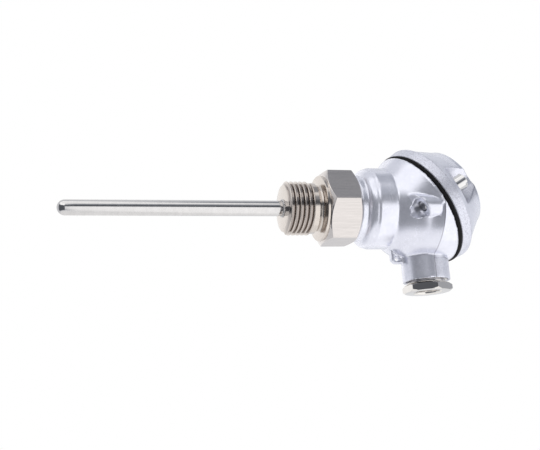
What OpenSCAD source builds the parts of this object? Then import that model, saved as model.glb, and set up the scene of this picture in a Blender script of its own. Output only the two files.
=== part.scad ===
// Resistance thermometer with a threaded process fitting and a small slanted connection head.
// Millimetres. +Z runs up the probe towards the head, the cable entry points along +X,
// and the origin is the centre of the hexagon's sealing face.

/* [Probe] */
// Length of the probe below the sealing face, tip to face
insertion_l = 100; // [40:5:300]
// Outer diameter of the sheath
sheath_d = 6; // [5.5:0.5:8]
// Wall of the sheath tube
sheath_wall = 0.6; // [0.4:0.1:0.8]
// Length of the ceramic sensing element
element_l = 15; // [8:1:25]
// Diameter of each of the lead wires
lead_d = 0.8; // [0.5:0.1:0.9]

/* [Process fitting] */
// Major diameter of the process thread
thread_d = 20.955; // [20:0.005:26.441]
// Length of the process thread with its relief
thread_l = 15.5; // [12:0.5:25]
// Length of the plain relief behind the thread
relief_l = 5.6; // [2:0.2:8]
// Depth of the relief below the thread crests
relief_depth = 1.2; // [0.6:0.1:1.8]
// Width across the flats of the hexagon
hex_af = 27; // [27:1:36]
// Thickness of the hexagon
hex_l = 12.5; // [8:0.5:20]
// Diameter of the thread that carries the head
stub_d = 20; // [16:1:22]
// Length of the thread that carries the head
stub_l = 10.5; // [7:0.5:11]

/* [Head casting] */
// Diameter of the nose that seats on the hexagon
nose_d = 26; // [25:0.5:28]
// Length of the nose
nose_l = 2.9; // [1.5:0.1:5]
// Diameter of the collar
collar_d = 32.2; // [31:0.2:36]
// Length of the rounded flare between nose and collar
flare_l = 3.6; // [2.5:0.1:5]
// Length of the collar
collar_l = 7; // [5:0.5:10]
// Diameter of the round body
body_d = 44.2; // [43.6:0.2:46]
// Wall of the casting
body_wall = 2.6; // [2:0.1:3]

/* [Lid] */
// Angle between the lid's axis and the probe
lid_tilt = 30; // [20:1:35]
// Diameter of the lid's rim at its foot
lid_d = 49.3; // [49:0.1:52]
// Height of the rim above the gasket's middle
rim_h = 5.25; // [4.6:0.05:7]
// Height of the lid's crown above the gasket's middle
lid_h = 18.45; // [17:0.05:22]
// Diameter of the flat top inside its rounded edge
lid_top_d = 31.4; // [30:0.2:34]
// Wall of the lid
lid_wall = 2; // [1.5:0.1:2.4]
// Thickness of the gasket ring
gasket_d = 1.7; // [1.4:0.1:2.2]

/* [Lid screws] */
// Nominal diameter of the lid screws
lid_screw_d = 4; // [3:0.5:4]
// Distance of each lid screw inside the gasket's inner edge
lid_screw_inset = 3.3; // [3.2:0.01:3.6]
// Length of each lid screw under its head
lid_screw_l = 16; // [14:1:18]
// Height of each lid screw's head
lid_screw_head = 5; // [2.5:0.5:6]

/* [Cable entry] */
// Outer diameter of the cable boss
entry_d = 18.6; // [18:0.2:24]
// Distance of the boss's rim from the probe's axis
entry_reach = 29.7; // [27:0.1:36]
// Height of the boss above the middle of the body
entry_rise = 0.1; // [0:0.1:1]
// Nominal diameter of the gland's thread
gland_d = 16; // [12:0.5:16]
// Pitch of the gland's thread
gland_pitch = 1.5; // [1:0.25:2]
// Width across the flats of the gland nut
gland_af = 17; // [17:0.5:20]
// Thickness of the gland nut's hexagon
gland_hex_l = 2.9; // [2:0.1:5]
// Bore of the gland for the cable
cable_bore = 10.4; // [8:0.2:10.6]

/* [Terminals] */
// Diameter of the ceramic terminal block
block_d = 28.6; // [28:0.2:29]
// Thickness of the terminal block
block_h = 7.5; // [6:0.5:9]
// Distance of the terminals from the block's centre
terminal_r = 9.6; // [9:0.1:10]

/* [Hidden] */

$fn = 72;
fit_gap = 0.05;       // radial clearance of threads and sliding fits
seat_gap = 0.05;      // gap under a face that rests but does not bind
eps = 0.01;

// probe
sheath_r = sheath_d / 2;
sheath_in_r = sheath_r - sheath_wall;
insulator_r = sheath_in_r - 0.15;
lead_r = lead_d / 2;
lead_ring_r = insulator_r / 2;                 // circle on which the four leads run
lead_hole_r = lead_r + 0.1;
tip_fill = 2.5;                                // filling under the sensing element
element_z = -insertion_l + sheath_wall + tip_fill;  // foot of the sensing element
element_r = insulator_r - 0.2;
leads_z = element_z + element_l;               // where the leads leave the element
insulator_z = leads_z + 0.2;
plug_l = 1.8;                                  // resin plug in the sheath's mouth
plug_proud = 0.4;

// fitting
hex_face_r = hex_af / 2 - 0.25;                // circle left by the 30 degree chamfers
thread_r = thread_d / 2;
relief_r = thread_r - relief_depth * 0.6;
stub_r = stub_d / 2;
stub_top = hex_l + stub_l;
weld_l = 0.8;
groove_l = relief_l * 0.45;                     // undercut next to the hexagon
groove_r = thread_r - relief_depth - 0.4;

// head, from the hexagon's back face upwards
nose_top = hex_l + nose_l;
flare_top = nose_top + flare_l;
collar_top = flare_top + collar_l;
collar_r = collar_d / 2;
body_r = body_d / 2;
body_in_r = body_r - body_wall;
body_foot_r = collar_r - 0.35;                 // where the round body meets the collar's end
body_z = collar_top + sqrt(body_r * body_r - body_foot_r * body_foot_r);  // middle of the round body
floor_z = collar_top + 1.6;                    // cavity floor
bore_top = stub_top + 0.6;
throat_r = sheath_r + 1.6;

// lid frame: axis tilted away from the cable entry, origin in the middle of the gasket
lid_shift = 0.25;                              // the seat lies this far off the body's middle
seat_drop = 0.2;                               // and this far below it
gasket_r = gasket_d / 2;
land_h = gasket_r;                             // lid and casting meet here
lid_r = lid_d / 2;
gasket_mid_r = lid_r - gasket_r - 0.45;
flange_r = gasket_mid_r + 0.35;                // the flange is centred on the body
rim_foot_r = lid_r - 0.6;                      // the rim widens a little upwards
land_r = gasket_mid_r - gasket_r - 0.1;
lid_screw_r = land_r - lid_screw_inset;
dome_base_r = lid_r - 0.85;
dome_top_r = lid_top_d / 2;
dome_edge_r = 1.5;                             // rounding of the lid's top edge
crown = 0.3;                                   // how far the top bulges
scoop_r = 8.8;                                 // concave clearance round each lid screw
scoop_off = lid_screw_r + scoop_r - 3.8;       // its axis from the lid's axis
scoop_h = rim_h + 2.4;                         // its floor, on which the screw's head rests
lid_in_r = lid_screw_r + 0.4;
keeper_t = 1;
keeper_travel = 3.5;                           // five turns of the lid screw
screw_r = lid_screw_d / 2;
screw_head_r = lid_screw_d * 0.78;
screw_shift = -0.3;                            // the two screws stand this far off the lid's middle
bore_relief_r = screw_r + 1.9;                 // wide recess in the boss's end, under each screw
bore_relief_out = 1.8;                         // it lies this far outside the screw's own axis
bore_relief_l = 2.2;
keeper_gap = 0.25;                             // a keeper rides this far clear of its pocket
pocket_r = lid_screw_inset - 0.05;
keeper_r = pocket_r - keeper_gap;
boss_r = screw_r + 2.45;                       // outer boss of each lid screw, drawn along the probe
inner_boss_r = screw_r + 2.8;                  // the same inside, round the screw's own axis
boss_low = scoop_h - lid_screw_l - 2.4;        // where the screw's hole leaves the boss
boss_x = lid_x(screw_shift, boss_low) - 1.4;   // middle of the boss's slanted end
boss_z = lid_z(screw_shift, boss_low) - 1.3;

// cable entry
entry_z = body_z + entry_rise;
entry_r = entry_d / 2;
gland_r = gland_d / 2;
entry_deep = 12.2;                             // depth of the entry from its rim to the ledge's back
ledge_x = entry_reach - entry_deep;            // inner end of the entry boss
ledge_t = 1.6;
seal_seat_x = ledge_x + ledge_t;
washer_t = 0.8;
seal_l = 5;
seal_x = seal_seat_x + washer_t;
thrust_x = seal_x + seal_l;
nut_x = thrust_x + washer_t;
nut_hex_x = entry_reach + 1.4;
nut_end_x = nut_hex_x + gland_hex_l;
cable_r = cable_bore / 2;
gland_face_r = gland_af / 2 + 0.35;

// terminals
foot_h = 2.5;                                  // feet that hold the block off the floor
block_z = floor_z + foot_h;
block_top = block_z + block_h;
block_r = block_d / 2;
block_hole_r = sheath_r + 1.2;
block_gap = 0.4;                               // the block drops in with this much room round it
block_screw_in = 3.3;                          // its screws stand this far inside its edge
block_screw_y = block_r - block_screw_in;
m3_r = 1.5;
post_r = 2.9;
post_proud = 1;
post_top = block_top + post_proud;
clamp_w = 5.8;
clamp_t = 0.8;
clamp_z = post_top + lead_d + seat_gap;
term_head_z = clamp_z + clamp_t + seat_gap;
sheath_top = block_z + 2;
lead_bend_r = 1.8;
lead_turn_z = post_top + lead_r - lead_bend_r; // where each lead starts to bend outwards
lead_gap = 0.25;
lead_side = m3_r + lead_r + lead_gap;          // a lead passes this far beside its screw
lead_past = 1;                                 // and ends this far beyond it
lead_angle = asin(lead_side / terminal_r);

module lid_frame() {
    translate([0, 0, body_z]) rotate([0, -lid_tilt, 0]) translate([lid_shift, 0, -seat_drop]) children();
}

// where a point of the lid's frame, u across and h up, lies in the part's frame
function lid_x(u, h) = (lid_shift + u) * cos(lid_tilt) - (h - seat_drop) * sin(lid_tilt);
function lid_z(u, h) = body_z + (lid_shift + u) * sin(lid_tilt) + (h - seat_drop) * cos(lid_tilt);

module entry_frame() {
    translate([0, 0, entry_z]) rotate([0, 90, 0]) children();
}

// hexagonal bar from z0 to z1 with its corners turned down at the chosen ends
module chamfered_hex(across, face_r, z0, z1, turn) {
    corner_r = across / sqrt(3);
    drop = (corner_r - face_r) * tan(30);
    intersection() {
        translate([0, 0, z0]) rotate(turn) cylinder(r = corner_r, h = z1 - z0, $fn = 6);
        rotate_extrude() polygon([
            [0, z0], [face_r, z0], [corner_r, z0 + drop], [corner_r + 1, z0 + drop + tan(30)],
            [corner_r + 1, z1 - drop - tan(30)], [corner_r, z1 - drop], [face_r, z1], [0, z1]]);
    }
}

// slotted cheese head with its shank, head seat at z = 0, shank below
module slotted_screw(shank_r, shank_l, head_r, head_h) {
    slot_w = head_r * 0.3;
    edge = head_r * 0.15;
    slot_deep = min(head_h * 0.5, head_r * 0.45);
    difference() {
        rotate_extrude() polygon([
            [0, -shank_l], [shank_r - 0.4, -shank_l], [shank_r, -shank_l + 0.4], [shank_r, 0],
            [head_r, 0], [head_r, head_h - edge], [head_r - edge, head_h], [0, head_h]]);
        translate([-head_r - 1, -slot_w / 2, head_h - slot_deep]) cube([2 * head_r + 2, slot_w, head_h]);
    }
}

module ring(outer_r, inner_r, h) {
    difference() {
        cylinder(r = outer_r, h = h);
        translate([0, 0, -1]) cylinder(r = inner_r, h = h + 2);
    }
}

// ---- probe ----

module domed_rod(r, z0, z1) {
    translate([0, 0, z0 + r]) sphere(r = r);
    translate([0, 0, z0 + r]) cylinder(r = r, h = z1 - z0 - r);
}

module probe_sheath() {
    color("silver") difference() {
        union() {
            domed_rod(sheath_r, -insertion_l, sheath_top);
            // weld bead under the fitting
            translate([0, 0, -thread_l - weld_l]) cylinder(r1 = sheath_r + 0.1, r2 = sheath_r + 0.65, h = weld_l);
        }
        translate([0, 0, -insertion_l + sheath_wall + sheath_in_r])
            cylinder(r = sheath_in_r, h = insertion_l + sheath_top);
        translate([0, 0, -insertion_l + sheath_wall + sheath_in_r]) sphere(r = sheath_in_r);
    }
}

module rtd_element() {
    color("white") translate([0, 0, element_z]) cylinder(r = element_r, h = element_l);
}

module ceramic_insulator() {
    color("ivory") difference() {
        translate([0, 0, insulator_z]) cylinder(r = insulator_r, h = sheath_top - plug_l + plug_proud - 0.1 - insulator_z);
        for (i = [0 : 3]) rotate(lead_turn(i)) translate([lead_ring_r, 0, insulator_z - 1])
            cylinder(r = lead_hole_r, h = insertion_l + 2 * sheath_top);
    }
}

module end_seal() {
    color("orange") difference() {
        translate([0, 0, sheath_top - plug_l + plug_proud]) cylinder(r = insulator_r, h = plug_l);
        for (i = [0 : 3]) rotate(lead_turn(i)) translate([lead_ring_r, 0, sheath_top - plug_l])
            cylinder(r = lead_hole_r, h = 2 * plug_l);
    }
}

function terminal_turn(i) = 45 + 90 * i;
function lead_turn(i) = terminal_turn(i) + lead_angle;

// straight up the probe, a quarter turn, then outwards under its clamp plate
module lead(i) {
    out_r = lead_ring_r + lead_bend_r;
    color(i < 2 ? "firebrick" : "white") rotate(lead_turn(i)) {
        translate([lead_ring_r, 0, leads_z]) cylinder(r = lead_r, h = lead_turn_z - leads_z);
        translate([out_r, 0, lead_turn_z]) rotate([90, 0, 0]) rotate_extrude(angle = 90, start = 90)
            translate([lead_bend_r, 0]) circle(r = lead_r);
        translate([out_r, 0, lead_turn_z + lead_bend_r]) rotate([0, 90, 0])
            cylinder(r = lead_r, h = terminal_r + lead_past - out_r);
    }
}

// ---- process fitting ----

module process_fitting() {
    end_r = thread_r - 1.1;
    color("lightgray") difference() {
        union() {
            rotate_extrude() polygon([
                [0, -thread_l], [end_r, -thread_l], [thread_r, -thread_l + 1.1], [thread_r, -relief_l - 0.4],
                [relief_r, -relief_l], [relief_r, -groove_l - 0.4], [groove_r, -groove_l], [groove_r, 1], [0, 1]]);
            chamfered_hex(hex_af, hex_face_r, 0, hex_l, 30);
            rotate_extrude() polygon([
                [0, hex_l - 1], [stub_r, hex_l - 1], [stub_r, stub_top - 1], [stub_r - 1, stub_top],
                [0, stub_top]]);
        }
        translate([0, 0, -thread_l - 1]) cylinder(r = sheath_r, h = thread_l + stub_top + 2);
    }
}

// ---- head casting ----

// nose, flare and collar as one turned profile
module neck_profile() {
    step = 0.3;
    flare_r = collar_r - step;
    rise = flare_r - nose_d / 2;
    polygon(concat(
        [[0, hex_l], [nose_d / 2 - 0.3, hex_l], [nose_d / 2, hex_l + 0.3], [nose_d / 2, nose_top]],
        [for (a = [0 : 15 : 90]) [nose_d / 2 + rise * sin(a), nose_top + (flare_l - step) * (1 - cos(a))]],
        [[collar_r, flare_top], [collar_r, collar_top - step], [collar_r - step, collar_top],
         [collar_r - step, collar_top + 4], [0, collar_top + 4]]));
}

module lid_screw_sites() {
    for (s = [-1, 1]) translate([screw_shift, s * lid_screw_r, 0]) children();
}

module lug() {
    lug_t = 2.4;
    hole_x = body_r * 0.93;
    hole_z = body_z - 12;
    difference() {
        translate([0, lug_t / 2, 0]) rotate([90, 0, 0]) linear_extrude(lug_t) polygon([
            [13, hole_z - 2.2], [hole_x + 0.6, hole_z - 2.2], [hole_x + 1.9, hole_z - 0.9],
            [hole_x + 1.9, hole_z + 5], [hole_x, hole_z + 6.2], [13, hole_z + 6.2]]);
        translate([hole_x, lug_t, hole_z]) rotate([90, 0, 0]) cylinder(r = 0.95, h = 2 * lug_t);
    }
}

// flange under the gasket, blending into the round body
module flange_profile() {
    blend = 2.2;
    neck_r = flange_r - blend;
    low = -gasket_r - 1.2;
    polygon(concat(
        [[body_r - 8, -gasket_r - 8], [neck_r - 1.1, low - blend - 3]],
        [for (a = [0 : 15 : 90]) [neck_r + (blend - 0.5) * (1 - cos(a)), low - (blend - 0.5) * (1 - sin(a))]],
        [[flange_r - 0.3, low], [flange_r, low + 0.3], [flange_r, -gasket_r], [body_r - 8, -gasket_r]]));
}

// each lid screw's boss: its sides run along the probe, as the mould is drawn, and its end is slanted
module outer_boss(s) {
    rise = body_z - boss_z - 1;
    translate([boss_x, s * lid_screw_r, boss_z]) intersection() {
        translate([0, 0, -boss_r]) cylinder(r = boss_r, h = rise + boss_r);
        rotate([s * 17.5, -20, 0]) union() {
            translate([0, 0, 0.4]) cylinder(r = 3 * boss_r, h = 2 * rise);
            cylinder(r1 = boss_r * 1.06 - 0.4, r2 = boss_r * 1.06, h = 0.4 + eps);
        }
    }
}

module head_outside() {
    rotate_extrude() neck_profile();
    // round body cut by the gasket's seat
    intersection() {
        translate([0, 0, body_z]) sphere(r = body_r, $fn = 120);
        lid_frame() translate([0, 0, -2 * body_r - gasket_r]) cylinder(r = 2 * body_r, h = 2 * body_r);
    }
    lid_frame() {
        translate([-lid_shift, 0, 0]) rotate_extrude() flange_profile();
        // raised land inside the gasket
        translate([0, 0, -gasket_r - 1]) cylinder(r = land_r, h = gasket_r + 1 + land_h - seat_gap);
    }
    for (s = [-1, 1]) outer_boss(s);
    entry_frame() cylinder(r = entry_r, h = entry_reach);
    lug();
}

module head_inside() {
    // cavity: a ball under the lid, flat at the floor, open upwards
    difference() {
        union() {
            intersection() {
                translate([0, 0, body_z]) sphere(r = body_in_r, $fn = 120);
                translate([-body_r, -body_r, floor_z]) cube([2 * body_r, 2 * body_r, 2 * body_r]);
            }
            lid_frame() translate([0, 0, -gasket_r]) cylinder(r = body_in_r - 0.3, h = 4 * gasket_r);
        }
        lid_frame() lid_screw_sites() translate([0, 0, 2 * boss_low]) cylinder(r = inner_boss_r, h = -4 * boss_low);
        entry_frame() translate([0, 0, ledge_x]) cylinder(r = entry_r - 0.2, h = body_r);
    }
    // way in for the terminal block, past the screws' bosses
    translate([0, 0, block_z - 0.5]) cylinder(r = block_r + block_gap, h = body_z - block_z + 0.5);
}

module head_feet() {
    for (s = [-1, 1]) translate([0, s * block_screw_y, floor_z - 0.5]) cylinder(r = m3_r + 1.6, h = foot_h + 0.5);
}

module head_body() {
    color("gainsboro") difference() {
        union() {
            difference() {
                head_outside();
                head_inside();
            }
            head_feet();
        }
        // thread for the fitting and the throat for the sheath
        translate([0, 0, hex_l - 1]) cylinder(r = stub_r + fit_gap, h = bore_top - hex_l + 1);
        cylinder(r = throat_r, h = floor_z + eps);
        // block screws
        for (s = [-1, 1]) translate([0, s * block_screw_y, floor_z - 1]) cylinder(r = m3_r + fit_gap, h = foot_h + 2);
        // lid screws
        lid_frame() lid_screw_sites() {
            translate([0, 0, boss_low]) cylinder(r = screw_r + fit_gap, h = 2 * body_r);
        }
        lid_frame() for (s = [-1, 1]) translate([0, s * (lid_screw_r + bore_relief_out), 2 * boss_low])
            cylinder(r = bore_relief_r, h = bore_relief_l - boss_low);
        // gland thread and the hole behind its ledge
        entry_frame() {
            translate([0, 0, seal_seat_x]) cylinder(r = gland_r + fit_gap, h = body_r);
            translate([0, 0, ledge_x - entry_deep / 3]) cylinder(r = cable_r, h = body_r);
            translate([0, 0, entry_reach - 0.5]) cylinder(r1 = gland_r, r2 = gland_r + 0.7, h = 0.7);
        }
    }
}

// ---- lid ----

module lid_outer_profile() {
    top_z = lid_h - crown;
    polygon(concat(
        [[0, land_h], [rim_foot_r - 0.2, land_h], [rim_foot_r, land_h + 0.2], [lid_r, rim_h - 0.4], [lid_r - 0.3, rim_h],
         [dome_base_r, rim_h + 0.1]],
        [for (a = [0 : 15 : 90]) [dome_top_r + dome_edge_r * cos(a), top_z - dome_edge_r * (1 - sin(a))]],
        [for (k = [3 : -1 : 0]) [dome_top_r * k / 4, top_z + crown * (1 - k * k / 16)]]));
}

module lid_inner_profile() {
    in_top = lid_h - crown - lid_wall;
    polygon([
        [0, 0], [lid_in_r, 0], [lid_in_r, rim_h], [dome_top_r + dome_edge_r - lid_wall, in_top - 2],
        [dome_top_r + dome_edge_r - lid_wall - 2, in_top], [0, in_top]]);
}

module scoops(grow) {
    for (s = [-1, 1]) translate([0, s * scoop_off, scoop_h - grow]) cylinder(r = scoop_r + grow, h = lid_h, $fn = 120);
}

module lid() {
    color("gainsboro") lid_frame() difference() {
        rotate_extrude() lid_outer_profile();
        scoops(0);
        difference() {
            rotate_extrude() lid_inner_profile();
            scoops(lid_wall);
            lid_screw_sites() cylinder(r = screw_head_r + 1.6, h = scoop_h);
        }
        // clearance holes, and the pockets in which the keepers ride
        lid_screw_sites() {
            cylinder(r = screw_r + 0.2, h = lid_h);
            translate([0, 0, land_h - 1]) cylinder(r = pocket_r, h = 1 + keeper_t + keeper_travel + 0.3);
        }
    }
}

module lid_gasket() {
    color("black") lid_frame() rotate_extrude() translate([gasket_mid_r, 0]) circle(r = gasket_r - 0.03);
}

module lid_screw(s) {
    color("silver") lid_frame() translate([screw_shift, s * lid_screw_r, scoop_h + seat_gap])
        rotate(s * 55) slotted_screw(screw_r, lid_screw_l, screw_head_r, lid_screw_head);
}

module screw_keeper(s) {
    color("white") lid_frame() translate([screw_shift, s * lid_screw_r, land_h + 0.1])
        ring(keeper_r, screw_r + fit_gap, keeper_t);
}

// ---- terminals ----

module terminal_block() {
    color("ivory") difference() {
        translate([0, 0, block_z]) cylinder(r = block_r, h = block_h);
        translate([0, 0, block_z - 1]) cylinder(r = block_hole_r, h = block_h + 2);
        for (s = [-1, 1]) translate([0, s * block_screw_y, 0]) {
            translate([0, 0, block_z - 1]) cylinder(r = m3_r + 0.15, h = block_h + 2);
            translate([0, 0, block_top - 3]) cylinder(r = 3.2, h = 4);
        }
        for (i = [0 : 3]) rotate(terminal_turn(i)) translate([terminal_r, 0, block_top - 4.5])
            cylinder(r = post_r + fit_gap, h = 6);
    }
}

module block_screw(s) {
    color("silver") translate([0, s * block_screw_y, block_top - 3])
        rotate(s * 30) slotted_screw(m3_r, block_h - 3 + foot_h - 0.5, 2.75, 2);
}

module terminal(i) {
    color("gold") rotate(terminal_turn(i)) translate([terminal_r, 0, block_top - 4.5])
        ring(post_r, m3_r + fit_gap, 4.5 + post_proud);
}

module clamp_plate(i) {
    color("gold") rotate(terminal_turn(i)) translate([terminal_r, 0, clamp_z]) difference() {
        translate([-clamp_w / 2, -clamp_w / 2, 0]) cube([clamp_w, clamp_w, clamp_t]);
        translate([0, 0, -1]) cylinder(r = m3_r + fit_gap, h = 3);
    }
}

module terminal_screw(i) {
    color("silver") rotate(terminal_turn(i)) translate([terminal_r, 0, term_head_z])
        rotate(20 + 35 * i) slotted_screw(m3_r, term_head_z - block_top + 4, 2.6, 1.8);
}

// ---- gland ----

module seat_washer() {
    color("silver") entry_frame() translate([0, 0, seal_seat_x]) ring(gland_r - 0.3, cable_r, washer_t);
}

module cable_seal() {
    color("black") entry_frame() translate([0, 0, seal_x]) ring(gland_r - 0.4, cable_r - 0.7, seal_l);
}

module thrust_washer() {
    color("silver") entry_frame() translate([0, 0, thrust_x]) ring(gland_r - 0.3, cable_r, washer_t);
}

module gland_nut() {
    flare = 0.9;
    color("silver") entry_frame() difference() {
        union() {
            translate([0, 0, nut_x]) cylinder(r = gland_r, h = entry_reach - 0.2 - nut_x);
            translate([0, 0, nut_x]) cylinder(r = gland_r - 0.6, h = nut_hex_x + 0.5 - nut_x);
            chamfered_hex(gland_af, gland_face_r, nut_hex_x, nut_end_x, 30);
        }
        translate([0, 0, nut_x - 1]) cylinder(r = cable_r, h = nut_end_x);
        translate([0, 0, nut_end_x - flare]) cylinder(r1 = cable_r, r2 = cable_r + 1.1 * flare, h = flare + eps);
    }
}

probe_sheath();
rtd_element();
ceramic_insulator();
end_seal();
lead(0);  // lead_1
lead(1);  // lead_2
lead(2);  // lead_3
lead(3);  // lead_4
process_fitting();
head_body();
lid();
lid_gasket();
lid_screw(-1);  // lid_screw_front
lid_screw(1);  // lid_screw_back
screw_keeper(-1);  // screw_keeper_front
screw_keeper(1);  // screw_keeper_back
terminal_block();
block_screw(-1);  // block_screw_front
block_screw(1);  // block_screw_back
terminal(0);  // terminal_1
terminal(1);  // terminal_2
terminal(2);  // terminal_3
terminal(3);  // terminal_4
clamp_plate(0);  // clamp_plate_1
clamp_plate(1);  // clamp_plate_2
clamp_plate(2);  // clamp_plate_3
clamp_plate(3);  // clamp_plate_4
terminal_screw(0);  // terminal_screw_1
terminal_screw(1);  // terminal_screw_2
terminal_screw(2);  // terminal_screw_3
terminal_screw(3);  // terminal_screw_4
seat_washer();
cable_seal();
thrust_washer();
gland_nut();
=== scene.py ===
"""Resistance thermometer: slim stem, threaded hexagon fitting and a small cast head with a slanted lid.

Metres, in the frame of the solids: +Z up the probe, +X out of the cable entry,
origin in the middle of the hexagon's sealing face.
"""

import math

import bmesh
import bpy
import numpy as np
from mathutils import Matrix, Vector


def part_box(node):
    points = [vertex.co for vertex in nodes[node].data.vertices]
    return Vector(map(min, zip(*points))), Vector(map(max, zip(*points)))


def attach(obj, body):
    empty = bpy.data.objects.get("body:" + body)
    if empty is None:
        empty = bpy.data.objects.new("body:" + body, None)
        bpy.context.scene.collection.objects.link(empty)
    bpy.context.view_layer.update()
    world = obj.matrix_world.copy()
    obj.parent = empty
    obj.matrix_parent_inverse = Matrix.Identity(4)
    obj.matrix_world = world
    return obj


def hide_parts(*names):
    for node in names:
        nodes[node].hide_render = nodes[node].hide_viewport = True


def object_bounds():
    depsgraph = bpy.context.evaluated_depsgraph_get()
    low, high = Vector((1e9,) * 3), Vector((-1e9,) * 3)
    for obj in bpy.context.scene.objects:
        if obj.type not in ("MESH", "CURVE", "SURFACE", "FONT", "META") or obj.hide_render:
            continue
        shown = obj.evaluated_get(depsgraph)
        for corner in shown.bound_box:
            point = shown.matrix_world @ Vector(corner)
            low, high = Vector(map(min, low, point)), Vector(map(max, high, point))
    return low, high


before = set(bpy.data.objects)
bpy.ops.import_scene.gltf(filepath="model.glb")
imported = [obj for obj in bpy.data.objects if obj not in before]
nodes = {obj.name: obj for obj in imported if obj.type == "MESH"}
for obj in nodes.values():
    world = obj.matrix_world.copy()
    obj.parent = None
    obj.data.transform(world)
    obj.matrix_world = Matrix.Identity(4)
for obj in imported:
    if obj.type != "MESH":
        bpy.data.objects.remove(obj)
cad_low, cad_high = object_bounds()
MM = 0.001


def box_mm(node):
    low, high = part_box(node)
    return np.array(low) / MM, np.array(high) / MM


# ------------------------------------------------------------------ sizes, in millimetres
# stem
SHEATH_R, SHEATH_WALL = 3.0, 0.6
TIP_Z, SHEATH_TOP = box_mm("probe_sheath")[0][2], box_mm("probe_sheath")[1][2]
# process fitting: thread, the relief behind it, hexagon and the stub inside the head
THREAD_R, THREAD_PITCH, THREAD_L = 20.955 / 2, 25.4 / 14, 15.5
RELIEF_L = 5.6
HEX_AF, HEX_L = 27.0, 12.5
STUB_R, STUB_TOP = 10.0, box_mm("process_fitting")[1][2]
# cable entry and gland
ENTRY_Z = sum(box_mm("gland_nut")[i][2] for i in (0, 1)) / 2
NUT_START, NUT_END = box_mm("gland_nut")[0][0], box_mm("gland_nut")[1][0]
GLAND_R, GLAND_PITCH = 8.0, 1.5
GLAND_AF, GLAND_HEX_L = 17.0, 2.9
CABLE_R = 5.2
# body: a ball that widens to the flange under the gasket; the flange's low edge is in the lid's frame
BALL_Z, BODY_R = ENTRY_Z - 0.1, 22.1
FLANGE_R, FLANGE_LOW = 23.7, -1.9
# lid: its frame, its rim and recesses, and its screws
LID_TILT = math.radians(30)
LID_AXIS = Vector((-math.sin(LID_TILT), 0, math.cos(LID_TILT)))
LID_SIDE = Vector((math.cos(LID_TILT), 0, math.sin(LID_TILT)))
LID_SHIFT, SEAT_DROP = 0.25, 0.2
LID_CENTRE = Vector((0, 0, BALL_Z)) + LID_SIDE * LID_SHIFT - LID_AXIS * SEAT_DROP
RIM_H = 5.25
SCOOP_H = RIM_H + 2.4
LID_SCREW_R, SCREW_SHIFT, SCREW_HOLE_LOW = 19.1, -0.3, -10.75

LID_MATRIX = Matrix.Translation(LID_CENTRE * MM) @ Matrix.Rotation(-LID_TILT, 4, "Y")
ENTRY_MATRIX = Matrix.Translation((0, 0, ENTRY_Z * MM)) @ Matrix.Rotation(math.pi / 2, 4, "Y")


# ------------------------------------------------------------------ shader node groups
class Shade:
    """A short way to write node trees: add nodes and join sockets by name."""

    def __init__(self, tree):
        self.tree = tree
        self.column = 0

    def add(self, kind, **values):
        node = self.tree.nodes.new(kind)
        node.location = (self.column * 180, -(self.column % 5) * 160)
        self.column += 1
        for key, value in values.items():
            if key in node.bl_rna.properties:
                setattr(node, key, value)
            else:
                self.put(node, key.replace("_", " "), value)
        return node

    def put(self, node, name, value):
        socket = self.socket(node.inputs, name)
        if hasattr(value, "is_output"):
            self.tree.links.new(value, socket)
        else:
            socket.default_value = value

    @staticmethod
    def socket(sockets, name):
        wanted = str(name).lower()
        if wanted.isdigit():
            return sockets[int(wanted)]
        for socket in sockets:
            if socket.name.lower() == wanted and socket.enabled:
                return socket
        raise KeyError(f"no socket {name} among {[s.name for s in sockets]}")

    def math(self, operation, a, b=None, c=None, clamp=False):
        node = self.add("ShaderNodeMath", operation=operation, use_clamp=clamp)
        for index, value in enumerate((a, b, c)):
            if value is not None:
                self.put(node, index, value)
        return node.outputs[0]

    def product(self, *values):
        result = values[0]
        for value in values[1:]:
            result = self.math("MULTIPLY", result, value)
        return result

    def length(self, a, b):
        return self.math("SQRT", self.math("ADD", self.math("POWER", a, 2.0), self.math("POWER", b, 2.0)))

    def axes(self, vector):
        """X, Y and Z of a vector, by name."""
        node = self.add("ShaderNodeSeparateXYZ")
        self.put(node, 0, vector)
        return node.outputs

    def noise(self, vector, scale, detail=2.0, rough=0.5, distortion=0.0):
        node = self.add("ShaderNodeTexNoise")
        self.put(node, "Vector", vector)
        self.put(node, "Scale", scale)
        self.put(node, "Detail", detail)
        self.put(node, "Roughness", rough)
        self.put(node, "Distortion", distortion)
        return node.outputs[0]

    def stretch(self, vector, factors):
        node = self.add("ShaderNodeMapping")
        self.put(node, "Vector", vector)
        self.put(node, "Scale", factors)
        return node.outputs[0]

    def span(self, value, low, high, out_low=0.0, out_high=1.0, smooth=False):
        node = self.add("ShaderNodeMapRange", interpolation_type="SMOOTHSTEP" if smooth else "LINEAR", clamp=True)
        for index, number in enumerate((value, low, high, out_low, out_high)):
            self.put(node, index, number)
        return node.outputs[0]

    def mix(self, factor, a, b, blend="MIX"):
        node = self.add("ShaderNodeMix", data_type="RGBA", blend_type=blend)
        self.tree.links.new(factor, node.inputs[0]) if hasattr(factor, "is_output") else setattr(
            node.inputs[0], "default_value", factor)
        for index, value in ((6, a), (7, b)):
            if hasattr(value, "is_output"):
                self.tree.links.new(value, node.inputs[index])
            else:
                node.inputs[index].default_value = value
        return node.outputs[2]


def new_group(name, inputs, outputs):
    """An empty shader group with named sockets, and the Shade that fills it."""
    group = bpy.data.node_groups.new(name, "ShaderNodeTree")
    for socket_name, kind, value in inputs:
        socket = group.interface.new_socket(socket_name, in_out="INPUT", socket_type=kind)
        if value is not None:
            socket.default_value = value
    for socket_name, kind in outputs:
        group.interface.new_socket(socket_name, in_out="OUTPUT", socket_type=kind)
    shade = Shade(group)
    return group, shade, shade.add("NodeGroupInput"), shade.add("NodeGroupOutput")


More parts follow.
